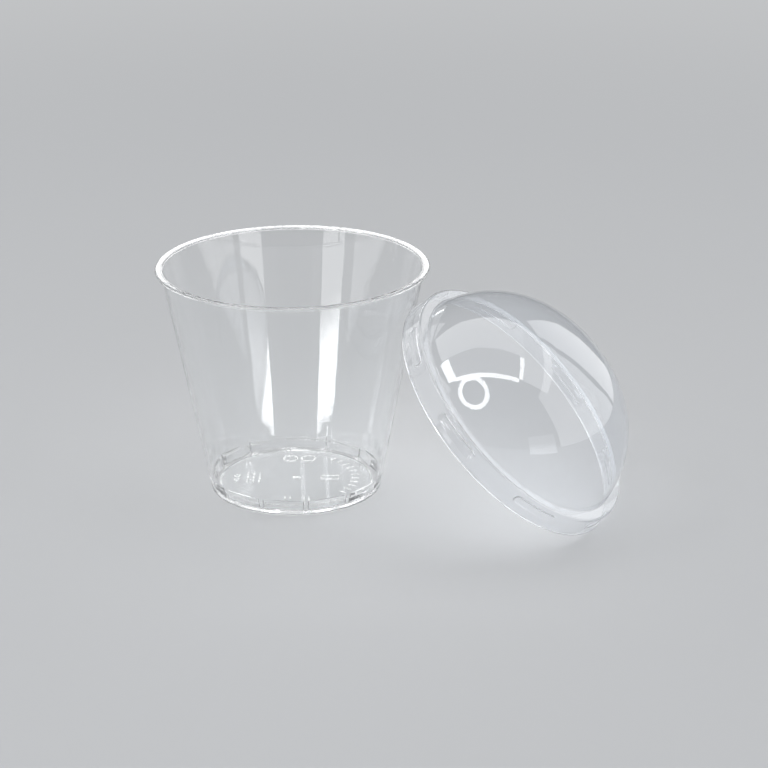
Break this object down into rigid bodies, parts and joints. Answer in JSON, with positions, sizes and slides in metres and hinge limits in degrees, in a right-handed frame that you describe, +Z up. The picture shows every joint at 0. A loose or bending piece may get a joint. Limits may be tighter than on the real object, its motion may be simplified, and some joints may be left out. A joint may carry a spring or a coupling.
{
  "type": "dessert cup with lid",
  "caption": "Clear tapered dessert cup with a rim bead, a foot ring and stacking pads, and its clear dome lid with a dimpled snap skirt, taken off and leaning on the cup.",
  "frame": {"origin": "centre of the cup's foot, on the table", "axes": "+Z up along the cup's axis; +X to the side where the lid leans, +Y away from the viewer"},
  "size_m": [0.163, 0.1214, 0.0812],
  "materials": {
    "clear_cup": "colourless clear moulded plastic, polished",
    "clear_lid": "colourless clear thermoformed sheet, glossy"
  },
  "bodies": {
    "root": {"cup": "clear_cup", "lid": "clear_lid"}
  },
  "joints": []
}
